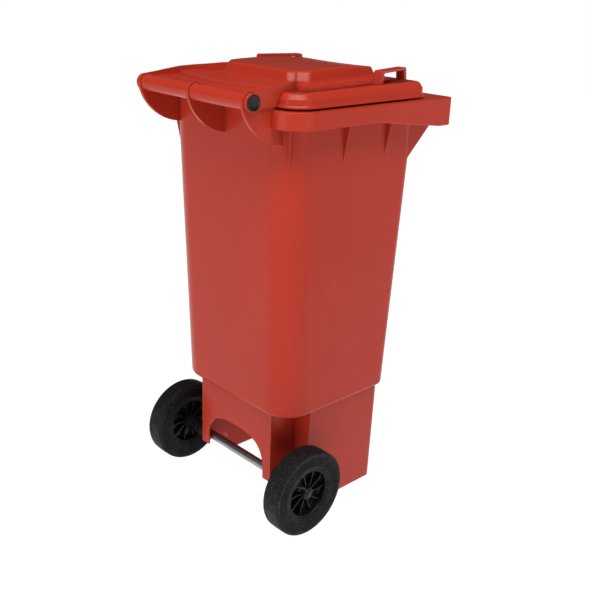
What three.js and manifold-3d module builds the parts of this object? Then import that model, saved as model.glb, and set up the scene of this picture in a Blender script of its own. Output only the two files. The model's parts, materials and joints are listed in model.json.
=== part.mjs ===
// A two-wheeled waste bin of about 120 litres: tub, hinged lid with two grips, hinge pins, axle and wheels.
// Millimetres, +Z up, -Y is the front, the hinge and the wheels are at the rear.
import * as THREE from "three";
import { mergeVertices } from "three/addons/utils/BufferGeometryUtils.js";
import Module from "manifold-3d";

const wasm = await Module();
wasm.setup();

const seatGap = 0.3; // between pieces that touch
const turnGap = 0.8; // between pieces that turn past each other
const cutPast = 1; // a cutting shape reaches this far past what it cuts

const wall = 4; // skin of the tub and the skirt
const lidWall = 3.5;

// Outer plan of the tub at its mouth, at its bend and at its foot, which taper in from the mouth
const tub = { frontCorner: 30, rearCorner: 65, floor: 5, footRound: 7 };
const tubMouth = { z: 940, half: 197, front: -157, rear: 216 };
const tubBend = {
  z: tubMouth.z - 125,
  half: tubMouth.half - 2,
  front: tubMouth.front - 7,
  rear: tubMouth.rear - 4,
};
const tubFoot = { z: 263, half: tubMouth.half - 10, front: tubMouth.front + 18, rear: tubMouth.rear - 25 };

// Turned-down rim around the mouth, deeper along the front where a comb lifts it
const rim = {
  half: tubMouth.half + 35,
  front: tubMouth.front - 81,
  rear: tubMouth.rear + 19,
  frontCorner: 8,
  rearCorner: 62,
  plate: 4,
  band: 4,
};
const rimDepth = { rear: 35, front: 60, slopeStart: 0, slopeEnd: rim.front + 38 };
const pocketEnd = 20; // how far behind the rim's front the plates at the comb pocket's ends begin

// Upright ribs between the tub and the rim
const rib = { thickness: 4, reach: 15, height: 82, root: 6, along: [60, -67] };

// Axle and wheels
const axle = { y: tubFoot.rear - 33.5, radius: 10 };
const tyre = { radius: 100, inner: 57, width: 46, shoulder: 7, groove: 1.2 };
axle.z = tyre.radius;

// Hollow skirt below the tub, open underneath, with a recess for each wheel hub
const skirt = {
  top: tubFoot.z - 1,
  topHalf: tubFoot.half - 14,
  footHalf: tubFoot.half - 24,
  topFront: tubFoot.front + 8,
  footFront: tubFoot.front + 3,
  rear: tubFoot.rear - 16,
  corner: 18,
};
const recess = { inner: skirt.topHalf - 48, front: axle.y - 57.5 };
const arch = { half: 99, splay: 4, spring: axle.z + 18, crown: axle.z + 79 };
const legs = { foot: axle.z - 17, rise: axle.y - 95.5, corner: axle.y - 52.5 };

tyre.outerFace = skirt.topHalf + 66;
axle.reach = tyre.outerFace - 3;
const hub = {
  rimThickness: 6.5,
  width: 38,
  web: 4,
  boss: axle.radius + 6,
  bossFace: tyre.outerFace - 8,
  spokes: 10,
  spoke: 2.4,
  bow: 9,
  spokeReach: 13,
};
const washer = { radius: axle.radius + 4, thickness: 2 };
const wheelSides = 48; // flats round a tyre
const hubSides = 36;

// Lid hinge, and the three gussets that carry it
const hinge = { y: rim.rear + 53, z: tubMouth.z + 18 };
const bar = { radius: 16.5, bore: 12.9 };
const gusset = {
  thickness: 7.5,
  outer: tubMouth.half - 30,
  ring: bar.radius + 2.5,
  edge: 0.5,
  wallFoot: tubMouth.z - 79,
};
const pin = {
  radius: bar.bore - seatGap,
  length: 66,
  capRadius: bar.radius - 0.9,
  capThickness: 3,
  capRound: 1.2,
};
const knuckle = { radius: bar.radius + 1.1, width: 7.4 };
const slotReach = gusset.ring + 5; // the lid is cut this far from the hinge axis at each gusset

// Lid plan, its stepped edge and the raised centre
const lid = {
  half: rim.half - 12,
  front: tubMouth.front - 10,
  rear: rim.rear - 13,
  frontCorner: 25,
  rearCorner: 52,
  bottom: tubMouth.z + 3.7,
};
lid.top = lid.bottom + 27.8;
const lidEdge = { flange: 5, step: 2.5, shoulder: 11 };
const lidRise = 0.011; // the top climbs this much per millimetre towards the front
const dome = {
  rearHalf: lid.half - 79,
  rear: lid.rear - 79,
  frontHalf: lid.half - 101,
  front: lid.front + 44,
  foot: lid.top - 6.5,
  shoulder: lid.top + 23.5,
  crown: 7,
  corner: 20,
};
const domeSlope = { rear: 14, rearSide: 15, frontSide: 8, front: 11 };

// Raised rear of the lid between two upright wings, which carry the hinge bar
const apron = {
  panel: lid.top + 8.5,
  panelEnd: lid.rear - 8,
  panelFall: 1,
  low: lid.top,
  lowStart: lid.rear,
  thickness: 4,
  wing: 4,
};
const wingPlan = [
  [gusset.outer + 8, hinge.y + 12],
  [gusset.outer + 6, hinge.y - 26],
  [gusset.outer + 2, lid.rear - 19],
  [dome.rearHalf + 19, dome.rear + 26],
  [dome.rearHalf + 4, dome.rear + 5],
  [dome.rearHalf - 13, dome.rear - 11],
];
const wingTop = [
  [hinge.y - 26, hinge.z + 20.5],
  [lid.rear - 19, lid.top + 15.1],
  [dome.rear + 26, lid.top + 17.5],
  [dome.rear + 4, lid.top + 20.5],
  [dome.rear - 17, lid.top + 24.5],
];

// Two bridge grips near the front corners
const grip = {
  x: lid.half - 48,
  y: lid.front + 73.5,
  length: 121,
  width: 20,
  top: lid.top + 29.5,
  bar: 6,
  post: 9,
  lean: 5,
  turn: 14.2,
};
const fingerPocket = { length: 74, width: 30, depth: 8 };

const colours = {
  redPlastic: { color: 0xb53b2d, roughness: 0.42, metalness: 0 },
  blackPlastic: { color: 0x17181a, roughness: 0.45, metalness: 0 },
  rubber: { color: 0x222224, roughness: 0.85, metalness: 0 },
  steel: { color: 0x9c9fa3, roughness: 0.35, metalness: 1 },
};

// ---- solids ----

// A closed three.js geometry as a solid that can be joined and cut
function solid(geometry) {
  const bare = geometry.index ? geometry.toNonIndexed() : geometry.clone();
  bare.deleteAttribute("normal");
  bare.deleteAttribute("uv");
  const merged = mergeVertices(bare, 1e-4);
  const vertProperties = new Float32Array(merged.attributes.position.array);
  const triVerts = new Uint32Array(merged.index.array);
  return new wasm.Manifold(new wasm.Mesh({ numProp: 3, vertProperties, triVerts }));
}

// The solid as a geometry with flat faces
function geometryOf(made) {
  const mesh = made.getMesh();
  const positions = new Float32Array(mesh.numVert * 3);
  for (let i = 0; i < mesh.numVert; i++) {
    positions.set(mesh.vertProperties.subarray(i * mesh.numProp, i * mesh.numProp + 3), i * 3);
  }
  const geometry = new THREE.BufferGeometry();
  geometry.setAttribute("position", new THREE.BufferAttribute(positions, 3));
  geometry.setIndex(new THREE.BufferAttribute(new Uint32Array(mesh.triVerts), 1));
  return geometry;
}

function joined(pieces) {
  return pieces.reduce((sum, piece) => sum.add(piece));
}

// Box between two corners
function block(low, high) {
  const size = high.map((value, i) => value - low[i]);
  const geometry = new THREE.BoxGeometry(...size);
  geometry.translate(...low.map((value, i) => value + size[i] / 2));
  return solid(geometry);
}

// Round bar along X between two places
function roundBar(fromX, toX, radius, y, z, sides = 40) {
  const geometry = new THREE.CylinderGeometry(radius, radius, toX - fromX, sides);
  geometry.rotateZ(Math.PI / 2);
  geometry.translate((fromX + toX) / 2, y, z);
  return solid(geometry);
}

// Rounded rectangle, symmetrical about x = 0
function plan({ half, front, rear, frontCorner, rearCorner }, inset = 0) {
  const side = half - inset;
  const low = front + inset;
  const high = rear - inset;
  const small = Math.max(frontCorner - inset, 1);
  const large = Math.max(rearCorner - inset, 1);
  const shape = new THREE.Shape();
  shape.absarc(-side + small, low + small, small, Math.PI, 1.5 * Math.PI);
  shape.absarc(side - small, low + small, small, 1.5 * Math.PI, 2 * Math.PI);
  shape.absarc(side - large, high - large, large, 0, 0.5 * Math.PI);
  shape.absarc(-side + large, high - large, large, 0.5 * Math.PI, Math.PI);
  return shape;
}

// Skin through a stack of plans, each { z, shape } with its corners in the same order
function loft(levels, corners = 7, heightAt = (x, y, z) => z) {
  const outlines = levels.map((level) => level.shape.extractPoints(corners).shape);
  const geometry = new THREE.ExtrudeGeometry(levels[0].shape, {
    depth: levels.length - 1,
    steps: levels.length - 1,
    curveSegments: corners,
    bevelEnabled: false,
  });
  const position = geometry.attributes.position;
  for (let i = 0; i < position.count; i++) {
    const from = new THREE.Vector2(position.getX(i), position.getY(i));
    const distances = outlines[0].map((point) => point.distanceTo(from));
    const level = Math.round(position.getZ(i));
    const point = outlines[level][distances.indexOf(Math.min(...distances))];
    position.setXYZ(i, point.x, point.y, heightAt(point.x, point.y, levels[level].z));
  }
  return solid(geometry);
}

// Upright plate from an outline of [y, z] points or a shape in Y and Z, thick along X
function sidePlate(outline, fromX, toX, corners = 12) {
  const corner = ([y, z]) => new THREE.Vector2(y, z);
  const shape = Array.isArray(outline) ? new THREE.Shape(outline.map(corner)) : outline;
  const geometry = new THREE.ExtrudeGeometry(shape, {
    depth: toX - fromX,
    steps: 1,
    curveSegments: corners,
    bevelEnabled: false,
  });
  geometry.rotateX(Math.PI / 2);
  geometry.rotateZ(Math.PI / 2);
  geometry.translate(fromX, 0, 0);
  return solid(geometry);
}

// Flat outline of [x, y] points raised from one height to another
function raised(shape, fromZ, toZ, corners = 12) {
  const geometry = new THREE.ExtrudeGeometry(shape, {
    depth: toZ - fromZ,
    steps: 1,
    curveSegments: corners,
    bevelEnabled: false,
  });
  geometry.translate(0, 0, fromZ);
  return solid(geometry);
}

// Closed ring profile of [radius, along] points turned about the X axis at the axle
function turnedOnAxle(profile, segments) {
  const points = profile.map(([radius, along]) => new THREE.Vector2(radius, along));
  const geometry = new THREE.LatheGeometry([...points, points[0].clone()], segments);
  geometry.rotateZ(-Math.PI / 2);
  geometry.translate(0, axle.y, axle.z);
  return solid(geometry);
}

function mirrored(made) {
  return made.mirror([1, 0, 0]);
}

// ---- tub ----

// The tub's plan at a height, on straight lines between foot, bend and mouth
function tubPlanAt(z, inset = 0) {
  const [low, high] = z < tubBend.z ? [tubFoot, tubBend] : [tubBend, tubMouth];
  const share = (z - low.z) / (high.z - low.z);
  const between = (name) => low[name] + share * (high[name] - low[name]);
  const sizes = { half: between("half"), front: between("front"), rear: between("rear"), ...tub };
  return { z, shape: plan(sizes, inset) };
}

function tubOuter() {
  const rounding = [0, 0.25, 0.5, 0.75, 1].map((share) => {
    const angle = (share * Math.PI) / 2;
    const up = tub.footRound * (1 - Math.cos(angle));
    return tubPlanAt(tubFoot.z + up, tub.footRound * (1 - Math.sin(angle)));
  });
  return loft([...rounding, tubPlanAt(tubBend.z), tubPlanAt(tubMouth.z)]);
}

function tubHollow() {
  const above = { ...tubPlanAt(tubMouth.z, wall), z: tubMouth.z + wall };
  return loft([tubPlanAt(tubFoot.z + tub.floor, wall), tubPlanAt(tubBend.z, wall), above]);
}

function rimBand() {
  const bottom = tubMouth.z - rimDepth.front;
  const outer = raised(plan(rim), bottom, tubMouth.z);
  const inner = raised(plan(rim, rim.band), bottom - cutPast, tubMouth.z - rim.plate);
  const reach = rim.half + cutPast;
  const keep = sidePlate(
    [
      [rim.rear + cutPast, tubMouth.z - rimDepth.rear],
      [rim.rear + cutPast, tubMouth.z + cutPast],
      [rim.front - cutPast, tubMouth.z + cutPast],
      [rim.front - cutPast, tubMouth.z - rimDepth.front],
      [rimDepth.slopeEnd, tubMouth.z - rimDepth.front],
      [rimDepth.slopeStart, tubMouth.z - rimDepth.rear],
    ],
    -reach,
    reach,
  );
  const handGap = block(
    [-gusset.outer, tubMouth.rear - wall, bottom],
    [gusset.outer, rim.rear + cutPast, tubMouth.z + cutPast],
  );
  return outer.subtract(inner).intersect(keep).subtract(handGap);
}

// Triangle from the tub's wall out to the rim, in the plane across the wall, before it is turned and placed
function ribAt(x, y, turn) {
  const top = tubMouth.z - rim.plate / 2;
  const flare = top - rimDepth.rear;
  const outline = [
    [-rib.root, flare - rib.height],
    [0, flare - rib.height],
    [rib.reach, flare],
    [rib.reach, top],
    [-rib.root, top],
  ];
  const plate = sidePlate(outline, -rib.thickness / 2, rib.thickness / 2);
  return plate.rotate([0, 0, turn]).translate([x, y, 0]);
}

function ribs() {
  const made = rib.along.map((y) => ribAt(tubBend.half, y, -90));
  const offset = tub.rearCorner * Math.SQRT1_2;
  const corner = [tubBend.half - tub.rearCorner + offset, tubBend.rear - tub.rearCorner + offset];
  made.push(ribAt(...corner, -45));
  return joined([...made, ...made.map(mirrored)]);
}

// Plates that close the comb pocket at both ends of the front
function pocketEnds() {
  const top = tubMouth.z - rim.plate / 2;
  const inside = tubBend.front + tub.frontCorner;
  const outline = [
    [inside, tubBend.z],
    [tubBend.front, tubBend.z],
    [rim.front + pocketEnd, tubMouth.z - rimDepth.front],
    [rim.front + pocketEnd, top],
    [inside, top],
  ];
  const outerFace = tubBend.half - wall / 4;
  const plate = sidePlate(outline, outerFace - wall, outerFace);
  return plate.add(mirrored(plate));
}

// Curved plate from the rear wall to the hinge ring, in Y and Z
function gussetShape() {
  const shape = new THREE.Shape();
  const inside = tubBend.rear - tub.rearCorner / 3;
  const foot = gusset.wallFoot;
  const rear = hinge.y + gusset.ring + gusset.edge;
  shape.moveTo(inside, foot);
  shape.lineTo(tubMouth.rear - 15, foot);
  shape.quadraticCurveTo(tubMouth.rear - 13, foot + 11, tubMouth.rear - 4, foot + 11.5);
  shape.bezierCurveTo(rear - 50, foot + 16, rear - 5, hinge.z - 43, rear, hinge.z);
  shape.lineTo(hinge.y, hinge.z);
  shape.lineTo(hinge.y - gusset.ring, tubMouth.z);
  shape.lineTo(inside, tubMouth.z);
  return shape;
}

function gussetFrom(x) {
  const plate = sidePlate(gussetShape(), x, x + gusset.thickness, 10);
  const ring = roundBar(x, x + gusset.thickness, gusset.ring, hinge.y, hinge.z);
  return plate.add(ring);
}

function gussets() {
  const outer = gussetFrom(gusset.outer - gusset.thickness);
  const reach = gusset.outer + cutPast;
  const bore = roundBar(-reach, reach, pin.radius + turnGap / 2, hinge.y, hinge.z);
  return joined([outer, mirrored(outer), gussetFrom(-gusset.thickness / 2)]).subtract(bore);
}

// Skirt plan, with the wheel recesses cut out of its rear corners
function skirtBlock(inset) {
  const level = (z, half, front) => {
    const sizes = { half, front, rear: skirt.rear, frontCorner: skirt.corner, rearCorner: skirt.corner };
    return { z, shape: plan(sizes, inset) };
  };
  const height = skirt.top + 2 * cutPast; // its top lies inside the tub's floor
  const low = inset ? -cutPast : 0;
  const foot = level(low, skirt.footHalf, skirt.footFront);
  const whole = loft([foot, level(height, skirt.topHalf, skirt.topFront)], 5);
  const side = recess.inner - inset;
  const cut = block(
    [side, recess.front - inset, low - cutPast],
    [skirt.topHalf + cutPast, skirt.rear + cutPast, height + cutPast],
  );
  return whole.subtract(cut).subtract(mirrored(cut));
}

function archCut() {
  const shape = new THREE.Shape();
  const haunch = arch.spring + (arch.crown - arch.spring) * 0.8;
  const flank = arch.half * 0.94;
  const brow = arch.half * 0.6;
  shape.moveTo(-arch.half - arch.splay, 0);
  shape.lineTo(arch.half + arch.splay, 0);
  shape.lineTo(arch.half, arch.spring);
  shape.bezierCurveTo(flank, haunch, brow, arch.crown, 0, arch.crown);
  shape.bezierCurveTo(-brow, arch.crown, -flank, haunch, -arch.half, arch.spring);
  const sizes = { depth: 3 * wall, curveSegments: 10, bevelEnabled: false };
  const geometry = new THREE.ExtrudeGeometry(shape, sizes);
  geometry.rotateX(Math.PI / 2);
  geometry.translate(0, skirt.rear + wall, 0);
  return solid(geometry);
}

function skirtShell() {
  const reach = skirt.topHalf + cutPast;
  const behind = skirt.rear + cutPast;
  const underLegs = sidePlate(
    [
      [legs.rise, -cutPast],
      [legs.corner, legs.foot],
      [behind, legs.foot],
      [behind, -cutPast],
    ],
    -reach,
    reach,
  );
  const axleHole = roundBar(-reach, reach, axle.radius + seatGap, axle.y, axle.z);
  return skirtBlock(0)
    .subtract(skirtBlock(wall))
    .subtract(archCut())
    .subtract(underLegs)
    .subtract(axleHole);
}

function tubBody() {
  return joined([tubOuter(), rimBand(), ribs(), pocketEnds(), gussets()])
    .subtract(tubHollow())
    .add(skirtShell());
}

// ---- lid ----

// Closed skin of the lid's flat part, with its flange, its step and its rounded shoulder
function lidSkin() {
  const height = lid.top - lid.bottom;
  const { flange, step, shoulder } = lidEdge;
  const draft = 1; // how far the edge leans in below its shoulder
  const rows = [
    [0, 0],
    [flange, 0],
    [flange + draft, step],
  ];
  for (const share of [0, 0.25, 0.5, 0.75, 1]) {
    const angle = (share * Math.PI) / 2;
    const across = step + draft + shoulder * (1 - Math.cos(angle));
    rows.push([height - shoulder * (1 - Math.sin(angle)), across]);
  }
  const levels = rows.map(([up, inset]) => ({ z: lid.bottom + up, shape: plan(lid, inset) }));
  return loft(levels, 6, climbed);
}

// The lid's top climbs towards the front, its bottom stays level
function climbed(x, y, z) {
  const share = Math.max(z - lid.bottom - lidEdge.flange, 0) / (lid.top - lid.bottom - lidEdge.flange);
  return z + share * lidRise * (lid.rear - y);
}

function lidHollow() {
  const { step, shoulder } = lidEdge;
  const height = lid.top - lid.bottom;
  const rows = [
    [-cutPast, step],
    [height - shoulder, step + 1],
    [height - lidWall, step + shoulder * 0.8],
  ];
  const levels = rows.map(([up, inset]) => ({ z: lid.bottom + up, shape: plan(lid, inset + lidWall) }));
  return loft(levels, 6, climbed);
}

// Four-sided outline, symmetrical about x = 0, with rounded corners
function roundedQuad(rearHalf, rear, frontHalf, front, radius) {
  const corners = [
    [-frontHalf, front],
    [frontHalf, front],
    [rearHalf, rear],
    [-rearHalf, rear],
  ];
  const shape = new THREE.Shape();
  corners.forEach((corner, i) => {
    const towards = (other) => {
      const share = radius / Math.hypot(other[0] - corner[0], other[1] - corner[1]);
      return [corner[0] + share * (other[0] - corner[0]), corner[1] + share * (other[1] - corner[1])];
    };
    const entry = towards(corners[(i + 3) % 4]);
    const exit = towards(corners[(i + 1) % 4]);
    if (i === 0) shape.moveTo(...entry);
    else shape.lineTo(...entry);
    shape.quadraticCurveTo(...corner, ...exit);
  });
  return shape;
}

// Raised centre of the lid: sloping sides under a roof that is crowned from front to rear
function domeSkin(inset) {
  const level = (z, share) => ({
    z,
    shape: roundedQuad(
      dome.rearHalf - domeSlope.rearSide * share - inset,
      dome.rear - domeSlope.rear * share - inset,
      dome.frontHalf - domeSlope.frontSide * share - inset,
      dome.front + domeSlope.front * share + inset,
      dome.corner,
    ),
  });
  const above = dome.shoulder + dome.crown + cutPast;
  const share = (above - lid.top) / (dome.shoulder - lid.top);
  const sides = loft([level(dome.foot - inset, 0), level(lid.top, 0), level(above, share)], 5);
  const roof = new THREE.Shape();
  const arcTop = dome.shoulder - inset + 2 * dome.crown;
  roof.moveTo(dome.front, dome.foot - inset);
  roof.lineTo(dome.rear, dome.foot - inset);
  roof.lineTo(dome.rear, dome.shoulder - inset);
  roof.quadraticCurveTo((dome.rear + dome.front) / 2, arcTop, dome.front, dome.shoulder - inset);
  return sides.intersect(sidePlate(roof, -dome.rearHalf, dome.rearHalf));
}

// Plan of the raised rear of the lid, out to a distance inside its wings
function apronPlan(inset) {
  const side = new THREE.SplineCurve(wingPlan.map(([x, y]) => new THREE.Vector2(x - inset, y))).getPoints(10);
  const otherSide = side.map((point) => new THREE.Vector2(-point.x, point.y)).reverse();
  const outline = new THREE.Shape([...side, ...otherSide].reverse());
  return raised(outline, lid.bottom - 2 * cutPast, dome.shoulder + dome.crown);
}

function apronFloor() {
  const front = wingPlan.at(-1)[1];
  const profile = [
    [front, lid.bottom],
    [lid.rear, lid.bottom],
    [lid.rear, apron.low - apron.thickness],
    [hinge.y - bar.radius / 2, apron.low - apron.thickness],
    [hinge.y - bar.radius / 2, apron.low],
    [apron.lowStart, apron.low],
    [apron.panelEnd, apron.panel - apron.panelFall],
    [front, apron.panel],
  ];
  return sidePlate(profile, -lid.half, lid.half).intersect(apronPlan(0));
}

function wings() {
  const reach = knuckle.radius * 0.98;
  const under = lid.bottom + 2;
  const profile = [
    [hinge.y, hinge.z - reach],
    [hinge.y, hinge.z + reach],
    ...wingTop,
    [wingTop.at(-1)[0], under],
    [(lid.rear + hinge.y) / 2, under],
  ];
  return sidePlate(profile, -lid.half, lid.half).intersect(apronPlan(0).subtract(apronPlan(apron.wing)));
}

function apronHollow() {
  const front = wingPlan.at(-1)[1] - 2 * lidWall;
  const under = apron.thickness;
  const open = lid.bottom - cutPast;
  const profile = [
    [front, open],
    [lid.rear - lidWall, open],
    [lid.rear - lidWall, apron.low - under],
    [apron.lowStart - lidWall, apron.low - under],
    [apron.panelEnd - lidWall, apron.panel - apron.panelFall - under],
    [front, apron.panel - under],
  ];
  return sidePlate(profile, -lid.half, lid.half).intersect(apronPlan(apron.wing + lidWall / 3));
}

function hingeBar() {
  const start = gusset.thickness / 2 + turnGap;
  const end = gusset.outer - gusset.thickness - turnGap;
  const tube = roundBar(start, end, bar.radius, hinge.y, hinge.z);
  const face = gusset.outer + turnGap;
  const eye = roundBar(face, face + knuckle.width, knuckle.radius, hinge.y, hinge.z);
  return joined([tube, mirrored(tube), eye, mirrored(eye)]);
}

function hingeBore() {
  const reach = gusset.outer + turnGap + knuckle.width + cutPast;
  return roundBar(-reach, reach, bar.bore, hinge.y, hinge.z);
}

// Room in the lid for the three gusset rings
function gussetSlots() {
  const slot = (x) => roundBar(x - turnGap, x + gusset.thickness + turnGap, slotReach, hinge.y, hinge.z);
  const outer = slot(gusset.outer - gusset.thickness);
  return joined([outer, mirrored(outer), slot(-gusset.thickness / 2)]);
}

function atGrip(made) {
  return made.rotate([0, 0, -grip.turn]).translate([grip.x, grip.y, 0]);
}

function gripBridge() {
  const half = grip.length / 2;
  const foot = lid.top - lidWall / 2;
  const under = grip.top - grip.bar;
  const outline = [
    [-half, foot],
    [-half + grip.post, foot],
    [-half + grip.post + grip.lean, under],
    [half - grip.post - grip.lean, under],
    [half - grip.post, foot],
    [half, foot],
    [half - grip.lean, grip.top],
    [-half + grip.lean, grip.top],
  ];
  return atGrip(sidePlate(outline, -grip.width / 2, grip.width / 2));
}

// Finger pocket below a grip, larger by a skin for the material that is kept round it
function pocket(skin) {
  const half = fingerPocket.width / 2 + skin;
  const reach = fingerPocket.length / 2 + skin;
  const corner = half * 0.9;
  const sizes = { half, front: -reach, rear: reach, frontCorner: corner, rearCorner: corner };
  const above = lid.top + lidRise * (lid.rear - lid.front) + cutPast;
  return atGrip(raised(plan(sizes), lid.top - fingerPocket.depth - skin, above, 6));
}

function lidBody() {
  const bridge = gripBridge();
  const cut = pocket(0);
  const kept = pocket(lidWall);
  const hollow = joined([lidHollow(), domeSkin(lidWall), apronHollow()])
    .subtract(kept)
    .subtract(mirrored(kept));
  return joined([lidSkin(), domeSkin(0), apronFloor(), wings(), hingeBar()])
    .subtract(cut)
    .subtract(mirrored(cut))
    .add(bridge)
    .add(mirrored(bridge))
    .subtract(hollow)
    .subtract(gussetSlots())
    .subtract(hingeBore());
}

// ---- hinge pins, axle and wheels, each made for the +X side ----

function hingePin() {
  const seat = gusset.outer + turnGap + knuckle.width + seatGap;
  const shank = roundBar(seat - pin.length, seat + pin.capThickness / 2, pin.radius, hinge.y, hinge.z);
  const face = seat + pin.capThickness;
  const cap = roundBar(seat, face - pin.capRound, pin.capRadius, hinge.y, hinge.z);
  const crown = roundBar(seat, face, pin.capRadius - pin.capRound, hinge.y, hinge.z);
  return joined([shank, cap, crown]);
}

function axleRod() {
  return roundBar(-axle.reach, axle.reach, axle.radius, axle.y, axle.z);
}

function tyreRing() {
  const outside = tyre.outerFace;
  const inside = tyre.outerFace - tyre.width;
  const { radius, inner, shoulder, groove } = tyre;
  const bead = 3; // the sidewall falls in this far at the hub
  const deep = outside - groove;
  const grooveTop = radius - 16;
  const profile = [
    [inner, inside + bead],
    [radius - shoulder, inside],
    [radius - shoulder * 0.3, inside + shoulder * 0.35],
    [radius, inside + shoulder * 1.2],
    [radius, outside - shoulder * 1.2],
    [radius - shoulder * 0.3, outside - shoulder * 0.35],
    [radius - shoulder, outside],
    [grooveTop, outside],
    [grooveTop - groove, deep],
    [grooveTop - 3 * groove, deep],
    [grooveTop - 4 * groove, outside],
    [inner, outside - bead],
  ];
  return turnedOnAxle(profile, wheelSides);
}

function hubSpokes() {
  const spoke = new THREE.Shape();
  const half = hub.spoke / 2;
  const start = hub.boss - half;
  const end = tyre.inner - seatGap - hub.rimThickness + half;
  spoke.moveTo(start, -half);
  spoke.quadraticCurveTo((start + end) / 2, hub.bow, end, -half);
  spoke.lineTo(end, half);
  spoke.quadraticCurveTo((start + end) / 2, hub.bow + hub.spoke, start, half);
  const middle = tyre.outerFace - tyre.width / 2;
  const sizes = { depth: 2 * hub.spokeReach, curveSegments: 3, bevelEnabled: false };
  const made = [];
  for (let i = 0; i < hub.spokes; i++) {
    const blade = new THREE.ExtrudeGeometry(spoke, sizes);
    blade.rotateZ((2 * Math.PI * i) / hub.spokes);
    blade.rotateY(Math.PI / 2);
    blade.translate(middle - hub.spokeReach, axle.y, axle.z);
    made.push(solid(blade));
  }
  return joined(made);
}

function wheelHub() {
  const rimRadius = tyre.inner - seatGap;
  const middle = tyre.outerFace - tyre.width / 2;
  const inner = rimRadius - hub.rimThickness;
  const innerBoss = recess.inner + turnGap;
  const bore = axle.radius + turnGap / 2;
  const profile = [
    [bore, innerBoss],
    [hub.boss, innerBoss],
    [hub.boss, middle - hub.web / 2],
    [inner, middle - hub.web / 2],
    [inner, middle - hub.width / 2],
    [rimRadius, middle - hub.width / 2],
    [rimRadius, middle + hub.width / 2],
    [inner, middle + hub.width / 2],
    [inner, middle + hub.web / 2],
    [hub.boss, middle + hub.web / 2],
    [hub.boss, hub.bossFace],
    [bore, hub.bossFace],
  ];
  return turnedOnAxle(profile, hubSides).add(hubSpokes());
}

function retainingWasher() {
  const start = hub.bossFace + turnGap;
  const bore = axle.radius + seatGap;
  const profile = [
    [bore, start],
    [washer.radius, start],
    [washer.radius, start + washer.thickness],
    [bore, start + washer.thickness],
  ];
  return turnedOnAxle(profile, hubSides);
}

// ---- assembly ----

const bin = new THREE.Group();
// The origin is on the floor, under the middle of the bin
bin.position.y = -(rim.front + hinge.y + gusset.ring + gusset.edge) / 2;

function place(name, made, colour) {
  const mesh = new THREE.Mesh(geometryOf(made), new THREE.MeshStandardMaterial(colours[colour]));
  mesh.name = name;
  bin.add(mesh);
}

function placePair(name, made, colour) {
  place(name + "_right", made, colour);
  place(name + "_left", mirrored(made), colour);
}

place("tub", tubBody(), "redPlastic");
place("lid", lidBody(), "redPlastic");
placePair("hinge_pin", hingePin(), "blackPlastic");
place("axle", axleRod(), "steel");
placePair("wheel_hub", wheelHub(), "blackPlastic");
placePair("tyre", tyreRing(), "rubber");
placePair("axle_washer", retainingWasher(), "steel");

export default bin;
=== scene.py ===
import json
import math
import bpy
import bmesh
from mathutils import Matrix, Vector


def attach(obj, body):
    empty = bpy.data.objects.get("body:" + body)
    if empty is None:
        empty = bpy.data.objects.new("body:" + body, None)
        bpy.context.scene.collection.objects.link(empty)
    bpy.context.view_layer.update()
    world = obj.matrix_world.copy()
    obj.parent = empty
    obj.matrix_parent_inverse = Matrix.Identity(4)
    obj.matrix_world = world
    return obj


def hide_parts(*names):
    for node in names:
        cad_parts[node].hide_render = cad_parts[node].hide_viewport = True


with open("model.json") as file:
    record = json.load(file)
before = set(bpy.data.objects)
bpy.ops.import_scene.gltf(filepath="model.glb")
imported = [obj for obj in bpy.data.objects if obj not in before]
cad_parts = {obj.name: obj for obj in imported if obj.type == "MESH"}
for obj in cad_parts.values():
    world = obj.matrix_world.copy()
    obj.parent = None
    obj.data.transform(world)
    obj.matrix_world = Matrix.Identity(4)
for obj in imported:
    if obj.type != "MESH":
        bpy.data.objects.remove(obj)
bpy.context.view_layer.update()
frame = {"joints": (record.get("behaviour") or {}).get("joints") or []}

# sizes below are millimetres, and y counts from the bin's own datum line
mm = 0.001
joints = {joint["name"]: joint for joint in frame["joints"]}
hinge = {"y": 288, "z": joints["lid_hinge"]["pos_m"][2] / mm}
datumY = joints["lid_hinge"]["pos_m"][1] / mm - hinge["y"]
toFrame = Matrix.Scale(mm, 4) @ Matrix.Translation((0, datumY, 0))


# camera and studio

view = {"place": (-1.3872, 1.3046, 1.1909), "turn": 225.88, "tilt": 69.38, "roll": 2.11, "lens": 53.0}
camera = bpy.data.objects.new("camera", bpy.data.cameras.new("camera"))
camera.data.lens = view["lens"]
camera.data.sensor_width = 36
camera.data.clip_end = 400
turned = Matrix.Rotation(math.radians(view["turn"]), 4, "Z")
tilted = Matrix.Rotation(math.radians(view["tilt"]), 4, "X")
rolled = Matrix.Rotation(math.radians(view["roll"]), 4, "Z")
camera.matrix_world = Matrix.Translation(view["place"]) @ (turned @ tilted) @ rolled
bpy.context.scene.collection.objects.link(camera)
bpy.context.scene.camera = camera
bpy.context.scene.view_settings.view_transform = "Standard"

studio = {"walls": 0.03, "ceiling": 0.15, "floorGlow": 0.95, "floorSize": 300}
softBoxes = [  # where each stands (degrees round, degrees up, metres away), its size and power
    {"name": "rearBox", "round": 176, "up": 6, "away": 3.4, "size": (2.0, 1.4), "power": 23},
    {"name": "sideBox", "round": 272, "up": 6, "away": 3.4, "size": (1.6, 1.4), "power": 9},
    {"name": "highBox", "round": 226, "up": 65, "away": 3.0, "size": (3.2, 0.9), "power": 92},
]


def standSoftBox(box):
    data = bpy.data.lights.new(box["name"], "AREA")
    data.shape = "RECTANGLE"
    data.size, data.size_y = box["size"]
    data.energy = box["power"]
    light = bpy.data.objects.new(box["name"], data)
    aim = Matrix.Translation((0, 0, 0.55))
    around = Matrix.Rotation(math.radians(box["round"]), 4, "Z")
    lift = Matrix.Rotation(math.radians(90 - box["up"]), 4, "X")
    light.matrix_world = aim @ around @ lift @ Matrix.Translation((0, 0, box["away"]))
    bpy.context.scene.collection.objects.link(light)


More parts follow.
